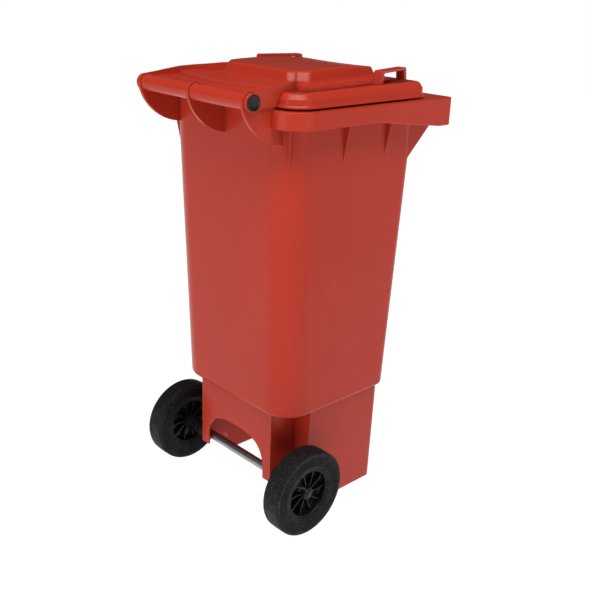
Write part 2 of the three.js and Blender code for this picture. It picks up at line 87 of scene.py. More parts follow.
def makeBackdrop():
    # dim round the walls and lighter overhead, and white where the camera looks past the floor
    world = bpy.data.worlds.new("studio")
    bpy.context.scene.world = world
    world.use_nodes = True
    nodes, links = world.node_tree.nodes, world.node_tree.links
    sky = nodes["Background"]
    sky.inputs["Color"].default_value = (1, 1, 1, 1)
    direction = nodes.new("ShaderNodeTexCoord")
    split = nodes.new("ShaderNodeSeparateXYZ")
    fade = nodes.new("ShaderNodeMapRange")
    fade.inputs["From Min"].default_value = 0.0
    fade.inputs["From Max"].default_value = 0.9
    fade.inputs["To Min"].default_value = studio["walls"]
    fade.inputs["To Max"].default_value = studio["ceiling"]
    seen = nodes.new("ShaderNodeLightPath")
    backdrop = nodes.new("ShaderNodeMix")
    backdrop.inputs["B"].default_value = 1.0
    links.new(direction.outputs["Generated"], split.inputs["Vector"])
    links.new(split.outputs["Z"], fade.inputs["Value"])
    links.new(seen.outputs["Is Camera Ray"], backdrop.inputs["Factor"])
    links.new(fade.outputs["Result"], backdrop.inputs["A"])
    links.new(backdrop.outputs["Result"], sky.inputs["Strength"])


for box in softBoxes:
    standSoftBox(box)
makeBackdrop()
print("studio ready")


# materials

def newMaterial(name, color, roughness, metallic=0.0):
    material = bpy.data.materials.new(name)
    material.use_nodes = True
    shader = material.node_tree.nodes["Principled BSDF"]
    shader.inputs["Base Color"].default_value = (*color, 1)
    shader.inputs["Roughness"].default_value = roughness
    shader.inputs["Metallic"].default_value = metallic
    return material, shader


def addNoise(material, scale, detail=2.0, stretch=(1, 1, 1), roughness=0.5):
    nodes, links = material.node_tree.nodes, material.node_tree.links
    coordinates = nodes.new("ShaderNodeTexCoord")
    mapping = nodes.new("ShaderNodeMapping")
    mapping.inputs["Scale"].default_value = stretch
    noise = nodes.new("ShaderNodeTexNoise")
    noise.inputs["Scale"].default_value = scale
    noise.inputs["Detail"].default_value = detail
    noise.inputs["Roughness"].default_value = roughness
    links.new(coordinates.outputs["Object"], mapping.inputs["Vector"])
    links.new(mapping.outputs["Vector"], noise.inputs["Vector"])
    return noise.outputs["Fac"]


def addRange(material, source, fromLow, fromHigh, toLow, toHigh):
    fit = material.node_tree.nodes.new("ShaderNodeMapRange")
    fit.inputs["From Min"].default_value = fromLow
    fit.inputs["From Max"].default_value = fromHigh
    fit.inputs["To Min"].default_value = toLow
    fit.inputs["To Max"].default_value = toHigh
    material.node_tree.links.new(source, fit.inputs["Value"])
    return fit.outputs["Result"]


def addMix(material, factor, colorA, colorB):
    nodes, links = material.node_tree.nodes, material.node_tree.links
    mix = nodes.new("ShaderNodeMix")
    mix.data_type = "RGBA"
    links.new(factor, mix.inputs["Factor"])
    for key, color in (("A", colorA), ("B", colorB)):
        socket = next(s for s in mix.inputs if s.name == key and s.type == "RGBA")
        if isinstance(color, tuple):
            socket.default_value = (*color, 1)
        else:
            links.new(color, socket)
    return next(s for s in mix.outputs if s.type == "RGBA")


def addBump(material, shader, layers):
    # each layer is a height and how far it stands up, in metres
    nodes, links = material.node_tree.nodes, material.node_tree.links
    normal = None
    for height, distance in layers:
        bump = nodes.new("ShaderNodeBump")
        bump.inputs["Strength"].default_value = 1.0
        bump.inputs["Distance"].default_value = distance
        links.new(height, bump.inputs["Height"])
        if normal:
            links.new(normal, bump.inputs["Normal"])
        normal = bump.outputs["Normal"]
    links.new(normal, shader.inputs["Normal"])


redFinish = {
    "color": (0.44, 0.034, 0.017),
    "shade": (0.41, 0.031, 0.015),
    "roughness": 0.24,
    "shine": 0.14,
    "grain": 1500,
    "grainHeight": 0.00002,
    "sinkMarks": 5,
    "sinkHeight": 0.0004,
}


def makeRedPlastic():
    material, shader = newMaterial("redPlastic", redFinish["color"], redFinish["roughness"])
    shader.inputs["Specular IOR Level"].default_value = redFinish["shine"]
    drift = addRange(material, addNoise(material, 4, 3), 0.3, 0.7, 0, 1)
    material.node_tree.links.new(
        addMix(material, drift, redFinish["shade"], redFinish["color"]), shader.inputs["Base Color"]
    )
    rubbed = addNoise(material, 14, 3, (1, 1, 0.5))
    polished, dull = redFinish["roughness"] - 0.03, redFinish["roughness"] + 0.04
    roughness = addRange(material, rubbed, 0.3, 0.7, polished, dull)
    material.node_tree.links.new(roughness, shader.inputs["Roughness"])
    grain = addNoise(material, redFinish["grain"], 1)
    sink = addNoise(material, redFinish["sinkMarks"], 0, (1, 1, 0.4))
    addBump(material, shader, [(sink, redFinish["sinkHeight"]), (grain, redFinish["grainHeight"])])
    return material


blackFinish = {
    "color": (0.006, 0.006, 0.006), "clean": (0.004, 0.004, 0.004), "dusty": (0.010, 0.010, 0.010),
    "roughness": 0.33, "polished": 0.26, "dull": 0.42, "shine": 0.3, "grain": 1100, "grainHeight": 0.00005,
}


def makeBlackPlastic():
    look = blackFinish
    material, shader = newMaterial("blackPlastic", look["color"], look["roughness"])
    shader.inputs["Specular IOR Level"].default_value = look["shine"]
    links = material.node_tree.links
    rubbed = addNoise(material, 120, 4, roughness=0.6)
    roughness = addRange(material, rubbed, 0.35, 0.7, look["polished"], look["dull"])
    links.new(roughness, shader.inputs["Roughness"])
    dust = addRange(material, addNoise(material, 35, 5), 0.45, 0.8, 0, 1)
    links.new(addMix(material, dust, look["clean"], look["dusty"]), shader.inputs["Base Color"])
    addBump(material, shader, [(addNoise(material, look["grain"], 1), look["grainHeight"])])
    return material


tyreFinish = {
    "color": (0.008, 0.008, 0.008), "clean": (0.003, 0.003, 0.003), "speck": (0.03, 0.03, 0.03),
    "roughness": 0.7, "worn": 0.55, "dull": 0.8, "shine": 0.2, "grain": 500, "grainHeight": 0.0005,
}


def makeTyreRubber():
    look = tyreFinish
    material, shader = newMaterial("tyreRubber", look["color"], look["roughness"])
    shader.inputs["Specular IOR Level"].default_value = look["shine"]
    links = material.node_tree.links
    specks = addRange(material, addNoise(material, 260, 4), 0.5, 0.75, 0, 1)
    links.new(addMix(material, specks, look["clean"], look["speck"]), shader.inputs["Base Color"])
    rubbed = addRange(material, addNoise(material, 60, 4), 0.35, 0.7, look["worn"], look["dull"])
    links.new(rubbed, shader.inputs["Roughness"])
    addBump(material, shader, [(addNoise(material, look["grain"], 3), look["grainHeight"])])
    return material


steelFinish = {
    "bright": (0.34, 0.34, 0.345), "dull": (0.12, 0.117, 0.112),
    "darkBright": (0.022, 0.022, 0.023), "darkDull": (0.012, 0.012, 0.012),
    "roughness": 0.35, "polished": 0.24, "worn": 0.46, "streaks": 30, "streakHeight": 0.0001,
}


def makeSteel(name, bright, dull):
    look = steelFinish
    material, shader = newMaterial(name, bright, look["roughness"], 1.0)
    links = material.node_tree.links
    streaks = addNoise(material, look["streaks"], 5, (1, 14, 14), 0.6)
    roughness = addRange(material, streaks, 0.3, 0.7, look["polished"], look["worn"])
    links.new(roughness, shader.inputs["Roughness"])
    dulled = addRange(material, streaks, 0.4, 0.8, 0, 1)
    links.new(addMix(material, dulled, bright, dull), shader.inputs["Base Color"])
    addBump(material, shader, [(streaks, look["streakHeight"])])
    return material


def makeFloorPaint():
    material, shader = newMaterial("floorPaint", (0.4, 0.4, 0.4), 0.9)
    shader.inputs["Emission Color"].default_value = (1, 1, 1, 1)
    shader.inputs["Emission Strength"].default_value = studio["floorGlow"]
    soft = addRange(material, addNoise(material, 2, 2), 0.3, 0.7, 0, 1)
    material.node_tree.links.new(
        addMix(material, soft, (0.39, 0.39, 0.39), (0.41, 0.41, 0.41)), shader.inputs["Base Color"]
    )
    return material


redPlastic = makeRedPlastic()
blackPlastic = makeBlackPlastic()
tyreRubber = makeTyreRubber()
steel = makeSteel("steel", steelFinish["bright"], steelFinish["dull"])
darkSteel = makeSteel("darkSteel", steelFinish["darkBright"], steelFinish["darkDull"])
floorPaint = makeFloorPaint()
print("materials ready")


# ways of shaping, shared by the pieces

def addRing(bm, size, z, inset=0, segments=8, keepFace=False):
    # rounded four-sided outline lying flat, with its own front and rear corner radius
    before = set(bm.faces)
    corners = bmesh.ops.create_grid(bm, x_segments=1, y_segments=1, size=1)["verts"]
    for corner in corners:
        atRear = corner.co.y > 0
        half = size.get("rearHalf", size["half"]) if atRear else size["half"]
        y = size["rear"] - inset if atRear else size["front"] + inset
        corner.co = (math.copysign(half - inset, corner.co.x), y, z)
    middle = (size["rear"] + size["front"]) / 2
    cuts = [(size["frontCorner"] - inset, -1, segments), (size["rearCorner"] - inset, 1, segments)]
    if "chamfer" in size:
        cuts.insert(0, (size["chamfer"] - inset * (2 - math.sqrt(2)), 1, 1))
    for reach, side, steps in cuts:
        face = (set(bm.faces) - before).pop()
        bmesh.ops.bevel(
            bm, geom=[v for v in face.verts if (v.co.y - middle) * side > 0], offset=max(reach, 0.8),
            offset_type="OFFSET", segments=steps, profile=0.5, affect="VERTICES", material=-1,
            clamp_overlap=False,
        )
    face = (set(bm.faces) - before).pop()
    edges = list(face.edges)
    if not keepFace:
        bmesh.ops.delete(bm, geom=[face], context="FACES_ONLY")
    return edges


def loft(bm, rings, segments=8):
    # rings is a list of (size, z, inset), and the first and the last are closed with a face
    last = len(rings) - 1
    loops = [
        addRing(bm, size, z, inset, segments, i in (0, last)) for i, (size, z, inset) in enumerate(rings)
    ]
    for low, high in zip(loops, loops[1:]):
        bmesh.ops.bridge_loops(bm, edges=low + high)


def quarterTurn(steps):
    # shares across and up for a rounding in so many steps
    angles = [i * math.pi / 2 / steps for i in range(steps + 1)]
    return [(1 - math.cos(a), math.sin(a)) for a in angles]


def extrudeOutline(bm, corners):
    # closes the outline with a face and gives back the corners of a second face, still to be moved off
    face = bm.faces.new([bm.verts.new(corner) for corner in corners])
    raised = bmesh.ops.extrude_face_region(bm, geom=[face])["geom"]
    return [g for g in raised if isinstance(g, bmesh.types.BMVert)]


def addPlate(bm, outline, fromX, toX):
    # upright plate from (y, z) corners, thick along x
    far = extrudeOutline(bm, [(fromX, y, z) for y, z in outline])
    bmesh.ops.translate(bm, vec=(toX - fromX, 0, 0), verts=far)


def addBlock(bm, low, high):
    made = bmesh.ops.create_cube(bm, size=1)["verts"]
    size = [h - l for l, h in zip(low, high)]
    middle = [(l + h) / 2 for l, h in zip(low, high)]
    bmesh.ops.transform(bm, matrix=Matrix.Translation(middle) @ Matrix.Diagonal((*size, 1)), verts=made)


def addTurned(bm, profile, y, z, steps=64):
    # closed (radius, x) profile turned about an axle along x
    verts = [bm.verts.new((x, y + radius, z)) for radius, x in profile]
    edges = [bm.edges.new((a, b)) for a, b in zip(verts, verts[1:] + verts[:1])]
    bmesh.ops.spin(
        bm, geom=verts + edges, cent=(0, y, z), axis=(1, 0, 0), angle=2 * math.pi, steps=steps,
        use_merge=True, dvec=(0, 0, 0),
    )


def addRod(bm, radius, fromX, toX, middle):
    # solid round bar along x, for a bore, a hole or a slot
    addTurned(bm, [(0.01, fromX), (radius, fromX), (radius, toX), (0.01, toX)], middle["y"], middle["z"])


def addSmoothPoints(points, between=6):
    # a soft curve through the points, as more points
    padded = [points[0]] + list(points) + [points[-1]]
    smooth = []
    for a, b, c, d in zip(padded, padded[1:], padded[2:], padded[3:]):
        for i in range(between):
            t = i / between
            smooth.append(tuple(
                0.5 * (
                    2 * q + (r - p) * t + (2 * p - 5 * q + 4 * r - s) * t ** 2
                    + (3 * q - p - 3 * r + s) * t ** 3
                )
                for p, q, r, s in zip(a, b, c, d)
            ))
    return smooth + [tuple(points[-1])]


def bezier(a, b, c, d, steps):
    made = []
    for i in range(steps + 1):
        t = i / steps
        made.append(tuple(
            (1 - t) ** 3 * p + 3 * (1 - t) ** 2 * t * q + 3 * (1 - t) * t ** 2 * r + t ** 3 * s
            for p, q, r, s in zip(a, b, c, d)
        ))
    return made


def easeCorners(points, reach):
    # rounds off each corner of an open line of points
    eased = [points[0]]
    for before, corner, after in zip(points, points[1:], points[2:]):
        before, corner, after = Vector(before), Vector(corner), Vector(after)
        start = corner + (before - corner).normalized() * min(reach, (before - corner).length * 0.4)
        end = corner + (after - corner).normalized() * min(reach, (after - corner).length * 0.4)
        eased += [tuple(start), tuple((start + end + corner * 2) / 4), tuple(end)]
    return eased + [points[-1]]


def mirrorAcross(bm):
    # a second copy on the other side of the bin
    copied = bmesh.ops.duplicate(bm, geom=bm.verts[:] + bm.edges[:] + bm.faces[:])["geom"]
    verts = [g for g in copied if isinstance(g, bmesh.types.BMVert)]
    faces = [g for g in copied if isinstance(g, bmesh.types.BMFace)]
    bmesh.ops.scale(bm, vec=(-1, 1, 1), verts=verts)
    bmesh.ops.reverse_faces(bm, faces=faces)


def newPiece(name, bm, material):
    bmesh.ops.remove_doubles(bm, verts=bm.verts, dist=0.01)
    bmesh.ops.recalc_face_normals(bm, faces=bm.faces)
    bmesh.ops.transform(bm, matrix=toFrame, verts=bm.verts)
    mesh = bpy.data.meshes.new(name)
    bm.to_mesh(mesh)
    bm.free()
    mesh.materials.append(material)
    mesh.shade_smooth()
    piece = bpy.data.objects.new(name, mesh)
    bpy.context.scene.collection.objects.link(piece)
    return piece


def carve(piece, cutter, operation="DIFFERENCE"):
    cut = piece.modifiers.new("carve", "BOOLEAN")
    cut.operation = operation
    cut.solver = "MANIFOLD"
    cut.object = cutter
    finished = piece.evaluated_get(bpy.context.evaluated_depsgraph_get())
    mesh = bpy.data.meshes.new_from_object(finished)
    piece.modifiers.clear()
    piece.data = mesh
    bpy.data.objects.remove(cutter)


def roundEdges(piece, width, segments=3, angle=34):
    bevel = piece.modifiers.new("roundedEdges", "BEVEL")
    bevel.width = width * mm
    bevel.segments = segments
    bevel.limit_method = "ANGLE"
    bevel.angle_limit = math.radians(angle)
    bevel.use_clamp_overlap = True
    weighted = piece.modifiers.new("evenShading", "WEIGHTED_NORMAL")
    weighted.weight = 60


def settle(piece, body, material, *nodes):
    piece.data.shade_smooth()
    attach(piece, body)
    if nodes:
        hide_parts(*nodes)


# tub

tub = {"frontCorner": 30, "rearCorner": 65, "floor": 5, "footRound": 9, "wall": 4}
tubLevels = [  # plan at the foot, the bend and the mouth
    {"z": 263, "half": 187, "front": -139, "rear": 191},
    {"z": 815, "half": 195, "front": -164, "rear": 212},
    {"z": 940, "half": 197, "front": -157, "rear": 216},
]
rim = {
    "half": 232, "front": -238, "rear": 235, "frontCorner": 8, "rearCorner": 62, "band": 4, "plate": 4,
    "rearDepth": 35, "frontDepth": 60, "slopeStart": 0, "slopeEnd": -200, "edge": 3.2,
}
ribs = {"thickness": 4, "reach": 15, "height": 82, "root": 6, "along": [60, -67]}
pocketEnd = 20


def tubPlan(z):
    low, high = (tubLevels[0], tubLevels[1]) if z < tubLevels[1]["z"] else (tubLevels[1], tubLevels[2])
    share = (z - low["z"]) / (high["z"] - low["z"])
    plan = {key: low[key] + share * (high[key] - low[key]) for key in ("half", "front", "rear")}
    return {**plan, "frontCorner": tub["frontCorner"], "rearCorner": tub["rearCorner"]}


def makeTubShell():
    foot, bend, top = (level["z"] for level in tubLevels)
    mouth = tubPlan(top)
    under = top - rim["plate"]
    bottom = top - rim["rearDepth"]
    rings = [(tubPlan(foot), foot, tub["footRound"])]
    for across, up in quarterTurn(5):
        z = foot + tub["footRound"] * across
        rings.append((tubPlan(z), z, tub["footRound"] * (1 - up)))
    rings += [(tubPlan(z), z, 0) for z in (foot + 14, bend - 14, bend - 4, bend + 4, bend + 14)]
    rings += [(mouth, under - 2, 0), (mouth, under, -1.2)]
    rings += [(rim, under, rim["band"] + 1), (rim, under - 1, rim["band"])]
    rings += [(rim, bottom + 1, rim["band"]), (rim, bottom, rim["band"] - 1)]
    rings += [(rim, bottom, 1), (rim, bottom + 1, 0)]
    for across, up in quarterTurn(4):
        rings.append((rim, top - rim["edge"] * (1 - up), rim["edge"] * across))
    rings += [(rim, top, rim["edge"] + 1.5), (mouth, top, 0)]
    for across, up in quarterTurn(3):
        rings.append((mouth, top - 2 * across, tub["wall"] - 2 + 2 * up))
    inside = [(tubPlan(z), z, tub["wall"]) for z in (bend + 8, bend - 8, foot + tub["floor"] + 12)]
    rings += inside
    for across, up in quarterTurn(4):
        z = foot + tub["floor"] + 8 * (1 - up)
        rings.append((tubPlan(z), z, tub["wall"] + 8 * across))
    bm = bmesh.new()
    loft(bm, rings, 10)
    # the turned-down band gets deeper along the front
    for y in (rim["slopeStart"], rim["slopeEnd"]):
        whole = bm.verts[:] + bm.edges[:] + bm.faces[:]
        bmesh.ops.bisect_plane(bm, geom=whole, plane_co=(0, y, 0), plane_no=(0, 1, 0))
    extra = rim["frontDepth"] - rim["rearDepth"]
    for vert in bm.verts:
        atSide = abs(vert.co.x) > rim["half"] - 6
        outside = atSide or vert.co.y < rim["front"] + 6 or vert.co.y > rim["rear"] - 30
        if bottom - 0.1 < vert.co.z < bottom + 1.1 and outside:
            share = (rim["slopeStart"] - vert.co.y) / (rim["slopeStart"] - rim["slopeEnd"])
            vert.co.z -= extra * min(max(share, 0), 1)
    return newPiece("tubShell", bm, redPlastic)


def makeRibs():
    top = tubLevels[2]["z"] - rim["plate"] / 2
    flare = top - rim["rearDepth"]
    outline = [
        (-ribs["root"], flare - ribs["height"]), (0, flare - ribs["height"]), (ribs["reach"], flare),
        (ribs["reach"], top), (-ribs["root"], top),
    ]
    bend = tubLevels[1]
    slant = tub["rearCorner"] * math.sqrt(0.5)
    places = [(bend["half"], y, -90) for y in ribs["along"]]
    places.append((bend["half"] - tub["rearCorner"] + slant, bend["rear"] - tub["rearCorner"] + slant, -45))
    bm = bmesh.new()
    for x, y, turn in places:
        before = set(bm.verts)
        addPlate(bm, outline, -ribs["thickness"] / 2, ribs["thickness"] / 2)
        move = Matrix.Translation((x, y, 0)) @ Matrix.Rotation(math.radians(turn), 4, "Z")
        bmesh.ops.transform(bm, matrix=move, verts=list(set(bm.verts) - before))
    # plates that close the ends of the comb pocket
    inside = bend["front"] + tub["frontCorner"]
    nearFront = rim["front"] + pocketEnd
    face = bend["half"] - 1
    plate = [
        (inside, bend["z"] - 6), (bend["front"] + 20, bend["z"] - 6),
        (nearFront, tubLevels[2]["z"] - rim["frontDepth"]),
        (nearFront, top), (inside, top),
    ]
    addPlate(bm, plate, face - tub["wall"], face)
    mirrorAcross(bm)
    return newPiece("tubRibs", bm, redPlastic)


gusset = {
    "thickness": 7.5, "outer": 167, "ring": 19, "wallFoot": 861, "gapFoot": 870, "edge": 0.5, "bore": 13.1,
}


def gussetOutline():
    mouth = tubLevels[2]
    foot = gusset["wallFoot"]
    rear = hinge["y"] + gusset["ring"] + gusset["edge"]
    inside = mouth["rear"] - 22
    wallSide = (mouth["rear"] - 15, foot)
    heel = (mouth["rear"] - 4, foot + 11.5)
    fillet = bezier(wallSide, (mouth["rear"] - 14, foot + 7), (mouth["rear"] - 12, foot + 11), heel, 5)
    sweep = bezier(heel, (rear - 50, foot + 16), (rear - 5, hinge["z"] - 43), (rear, hinge["z"]), 18)
    across, up = gusset["ring"] + gusset["edge"], gusset["ring"]
    cap = [
        (hinge["y"] + across * math.cos(a), hinge["z"] + up * math.sin(a))
        for a in (math.radians(10 * i) for i in range(1, 21))
    ]
    top = [(mouth["rear"] + 12, mouth["z"]), (inside, mouth["z"])]
    return [(inside, foot)] + fillet + sweep[1:] + cap + top


def makeGussets():
    bm = bmesh.new()
    for left in (-gusset["outer"], -gusset["thickness"] / 2, gusset["outer"] - gusset["thickness"]):
        addPlate(bm, gussetOutline(), left, left + gusset["thickness"])
    return newPiece("hingeGussets", bm, redPlastic)


def makeTub():
    shell = makeTubShell()
    mouth = tubLevels[2]
    gap = bmesh.new()
    side = gusset["outer"]
    addBlock(gap, (-side, mouth["rear"] + 0.05, gusset["gapFoot"]), (side, rim["rear"] + 9, mouth["z"] + 9))
    carve(shell, newPiece("handGap", gap, redPlastic))
    roundEdges(shell, 1.0, 2, 40)
    settle(shell, "bin", redPlastic, "tub")
    ribPiece = makeRibs()
    roundEdges(ribPiece, 0.9)
    settle(ribPiece, "bin", redPlastic)
    gussetPiece = makeGussets()
    bore = bmesh.new()
    reach = gusset["outer"] + 5
    addRod(bore, gusset["bore"], -reach, reach, hinge)
    carve(gussetPiece, newPiece("pinBore", bore, redPlastic))
    roundEdges(gussetPiece, 1.4)
    settle(gussetPiece, "bin", redPlastic)
    print("tub ready")


makeTub()


# skirt under the tub

skirt = {
    "top": 264, "topHalf": 173, "footHalf": 163, "topFront": -131, "footFront": -136, "rear": 175,
    "corner": 18, "wall": 4, "recessInner": 125, "recessFront": 100,
}
arch = {"half": 99, "splay": 4, "spring": 118, "crown": 179}
legs = {"foot": 83, "rise": 62, "corner": 105, "axleHole": 10.4}
axle = {"y": 157.5, "z": 100, "radius": 10, "reach": 236}


def makeSkirtBlock(name, inset):
    # the skirt's outer shape, or with an inset the space inside it
    low = -5 if inset else 0
    bm = bmesh.new()
    corner = {"frontCorner": skirt["corner"], "rearCorner": skirt["corner"], "rear": skirt["rear"]}
    foot = {**corner, "half": skirt["footHalf"], "front": skirt["footFront"]}
    top = {**corner, "half": skirt["topHalf"], "front": skirt["topFront"]}
    loft(bm, [(foot, low, inset), (top, skirt["top"], inset)], 8)
    block = newPiece(name, bm, redPlastic)
    recess = bmesh.new()
    side = skirt["recessInner"] - inset
    addBlock(recess, (side, skirt["recessFront"] - inset, -20), (240, 240, skirt["top"] + 20))
    mirrorAcross(recess)
    carve(block, newPiece("recess", recess, redPlastic))
    return block


def archOutline():
    haunch = arch["spring"] + (arch["crown"] - arch["spring"]) * 0.8
    half, crown = arch["half"], arch["crown"]
    rightSide = bezier((half, arch["spring"]), (half * 0.94, haunch), (half * 0.6, crown), (0, crown), 14)
    leftSide = [(-x, z) for x, z in reversed(rightSide[:-1])]
    return [(arch["half"] + arch["splay"], -9)] + rightSide + leftSide + [(-arch["half"] - arch["splay"], -9)]


def makeSkirt():
    shell = makeSkirtBlock("tubSkirt", 0)
    carve(shell, makeSkirtBlock("skirtHollow", skirt["wall"]))
    opening = bmesh.new()
    far = extrudeOutline(opening, [(x, skirt["rear"] + 9, z) for x, z in archOutline()])
    bmesh.ops.translate(opening, vec=(0, -skirt["wall"] - 16, 0), verts=far)
    carve(shell, newPiece("archOpening", opening, redPlastic))
    under = bmesh.new()
    outline = [
        (legs["rise"], 0), (legs["corner"], legs["foot"]), (300, legs["foot"]), (300, -30),
        (legs["rise"] - 15.5, -30),
    ]
    addPlate(under, outline, -240, 240)
    carve(shell, newPiece("legCut", under, redPlastic))
    hole = bmesh.new()
    addRod(hole, legs["axleHole"], -240, 240, axle)
    carve(shell, newPiece("axleHole", hole, redPlastic))
    roundEdges(shell, 1.5, 3, 30)
    settle(shell, "bin", redPlastic)
    print("skirt ready")


makeSkirt()


# lid

lid = {
    "half": 220, "front": -167, "rear": 222, "frontCorner": 25, "rearCorner": 52,
    "bottom": 943.7, "top": 971.5, "flange": 5, "step": 2.5, "draft": 1, "shoulder": 11,
    "wall": 3.5, "rise": 0.011,
}
dome = {
    "rearHalf": 141, "rear": 143, "half": 119, "front": -123,
    "rearLean": 14, "rearSideLean": 15, "sideLean": 8, "frontLean": 11,
    "shoulder": 996, "edge": 3, "fillet": 11, "corner": 20, "rearCorner": 7, "chamfer": 33,
    "crown": 6.5, "rearBow": 4, "frontDish": 3,
}
pocket = {"length": 76, "width": 30, "depth": 8, "wall": 3}
grip = {
    "x": 172, "y": -93.5, "turn": -14.2, "length": 121, "width": 20, "top": 1001,
    "bar": 6, "post": 10, "lean": 5, "soften": 3.5, "underSoften": 2.5,
}


def climb(bm, start):
    # the lid's top rises a little towards the front
    for vert in bm.verts:
        share = (vert.co.z - start) / (lid["top"] - start)
        vert.co.z += max(share, 0) * lid["rise"] * (lid["rear"] - vert.co.y)


def makeLidPanel():
    height = lid["top"] - lid["bottom"]
    side = lid["step"] + lid["draft"]
    inner = lid["wall"] + side
    under = height - lid["wall"]
    rows = [(under, inner + 12), (under, inner + 8), (under - 8, inner)]
    rows += [(0, inner - 1), (0, 0), (lid["flange"] - 2, 0), (lid["flange"] + 1.4, lid["step"])]
    rows += [(height - lid["shoulder"], side), (height - 2, side + 0.66 * lid["shoulder"])]
    rows += [(height, side + lid["shoulder"] + 2), (height, side + lid["shoulder"] + 6)]
    rows = easeCorners(rows, 0.9)
    bm = bmesh.new()
    loft(bm, [(lid, lid["bottom"] + up, inset) for up, inset in rows], 10)
    climb(bm, lid["bottom"] + lid["flange"])
    return newPiece("lidPanel", bm, redPlastic)


def atGrip(bm):
    turned = Matrix.Rotation(math.radians(grip["turn"]), 4, "Z")
    place = Matrix.Translation((grip["x"], grip["y"], 0)) @ turned
    bmesh.ops.transform(bm, matrix=place, verts=bm.verts)


def makePocket(name, skin):
    half = pocket["width"] / 2 + skin
    reach = pocket["length"] / 2 + skin
    corner = half * 0.92
    plan = {"half": half, "front": -reach, "rear": reach, "frontCorner": corner, "rearCorner": corner}
    floorZ = lid["top"] + 3 - pocket["depth"] - skin
    top = lid["top"] + (1.5 if skin > 1 else 12)
    bm = bmesh.new()
    rings = [(plan, floorZ + 4 * (1 - up), 2.5 + 4 * across) for across, up in reversed(quarterTurn(4))]
    loft(bm, rings + [(plan, top, 0)], 8)
    atGrip(bm)
    mirrorAcross(bm)
    return newPiece(name, bm, redPlastic)


def domeCrown(x, y):
    middle = (dome["rear"] + dome["front"]) / 2
    along = (y - middle) / ((dome["rear"] - dome["front"]) / 2)
    across = x / dome["half"]
    rearBow = dome["rearBow"] * max(along, 0) ** 2 * max(1 - across ** 2, 0)
    frontDish = dome["frontDish"] * max(-along, 0) ** 2 * max(1 - across ** 2, 0)
    return dome["crown"] * max(1 - along ** 2, 0) + rearBow - frontDish


def makeDome(name, inset):
    # the raised centre of the lid, or with an inset the space inside it
    def plan(share):
        return {
            "rearHalf": dome["rearHalf"] - dome["rearSideLean"] * share,
            "rear": dome["rear"] - dome["rearLean"] * share,
            "half": dome["half"] - dome["sideLean"] * share,
            "front": dome["front"] + dome["frontLean"] * share,
            "frontCorner": dome["corner"] + inset, "rearCorner": dome["rearCorner"] + inset,
            "chamfer": dome["chamfer"],
        }

    foot = lid["top"] - (4 if inset else 1.3)
    top = dome["shoulder"] - inset
    height = top - foot
    fillet = 0 if inset else dome["fillet"]
    rings = []
    for across, up in quarterTurn(6)[1:]:  # flares out where it meets the lid
        if fillet:
            rings.append((plan(fillet * across / height), foot + fillet * across, -fillet * (1 - up) + inset))
    if not fillet:
        rings.append((plan(0), foot - 4, inset))
    rings.append((plan(0.6), foot + 0.6 * height, inset))
    for across, up in quarterTurn(5):
        share = 1 - dome["edge"] * (1 - up) / height
        rings.append((plan(share), foot + share * height, inset + dome["edge"] * across))
    rings.append((plan(1), top, inset + dome["edge"] + 2))
    bm = bmesh.new()
    loft(bm, rings, 3 if inset else 8)
    # cut into strips both ways, so that the top can be crowned
    planes = [((0, 10 * i, 0), (0, 1, 0)) for i in range(-12, 15)]
    for spot, facing in planes + [((20 * i, 0, 0), (1, 0, 0)) for i in range(-6, 7)]:
        whole = bm.verts[:] + bm.edges[:] + bm.faces[:]
        bmesh.ops.bisect_plane(bm, geom=whole, dist=0.02, plane_co=spot, plane_no=facing)
    for vert in bm.verts:
        share = max((vert.co.z - foot) / height, 0)
        vert.co.z += share ** 2 * domeCrown(vert.co.x, vert.co.y)
    climbStart = lid["bottom"] + lid["flange"]
    for vert in bm.verts:
        share = min((vert.co.z - climbStart) / (lid["top"] - climbStart), 1)
        levelled = 1 - 0.6 * max((vert.co.z - foot) / height, 0)
        vert.co.z += share * lid["rise"] * (lid["rear"] - vert.co.y) * levelled
    return newPiece(name, bm, redPlastic)


def makeLid():
    panel = makeLidPanel()
    pocketShell = makePocket("pocketShell", pocket["wall"])
    carve(pocketShell, makePocket("pocketSpace", 0))
    carve(panel, makePocket("pocketCut", 0.6))
    carve(panel, pocketShell, "UNION")
    carve(panel, makeDome("domeHollow", lid["wall"]))
    settle(panel, "lid", redPlastic, "lid")
    panel.data.set_sharp_from_angle(angle=math.radians(42))
    panel.modifiers.new("WeightedNormal", "WEIGHTED_NORMAL").keep_sharp = True
    raised = makeDome("lidDome", 0)
    carve(raised, makeDome("domeInside", lid["wall"]))
    settle(raised, "lid", redPlastic)
    print("lid ready")


makeLid()


# raised rear of the lid, its wings and the hinge bar

apron = {
    "panel": 980, "panelFall": 1, "panelSide": 190, "panelCorner": (150, 216), "panelMiddle": 243, "slope": 6,
    "low": 971.5, "plate": 4, "plateFront": 198, "wing": 4,
}
# where a wing runs (x, y), and how high its top and its foot stand on the way (y, z)
wingLine = [(175, 300), (173, 262), (169, 203), (161, 170), (145, 151), (128, 135), (108, 116)]
wingTop = [
    (305, 975.2), (288, 975.2), (262, 978.5), (203, 986.6), (170, 989), (149, 991.5), (124, 996), (114, 997),
]
wingFoot = [(305, 940.8), (288, 940.8), (262, 945.7), (224, 945.7), (219, 969.5), (100, 969.5)]
bar = {"radius": 16.5, "bore": 12.9, "collar": 0.9, "gap": 0.8, "slot": 24}
eye = {"radius": 17.6, "width": 7.4}
pin = {"shank": 12.6, "length": 66, "cap": 15.6, "capThick": 3, "capRound": 1.3}


def heightAt(points, y):
    for (yA, zA), (yB, zB) in zip(points, points[1:]):
        if yB <= y <= yA:
            return zA + (zB - zA) * (yA - y) / (yA - yB)
    return points[-1][1] if y < points[-1][0] else points[0][1]


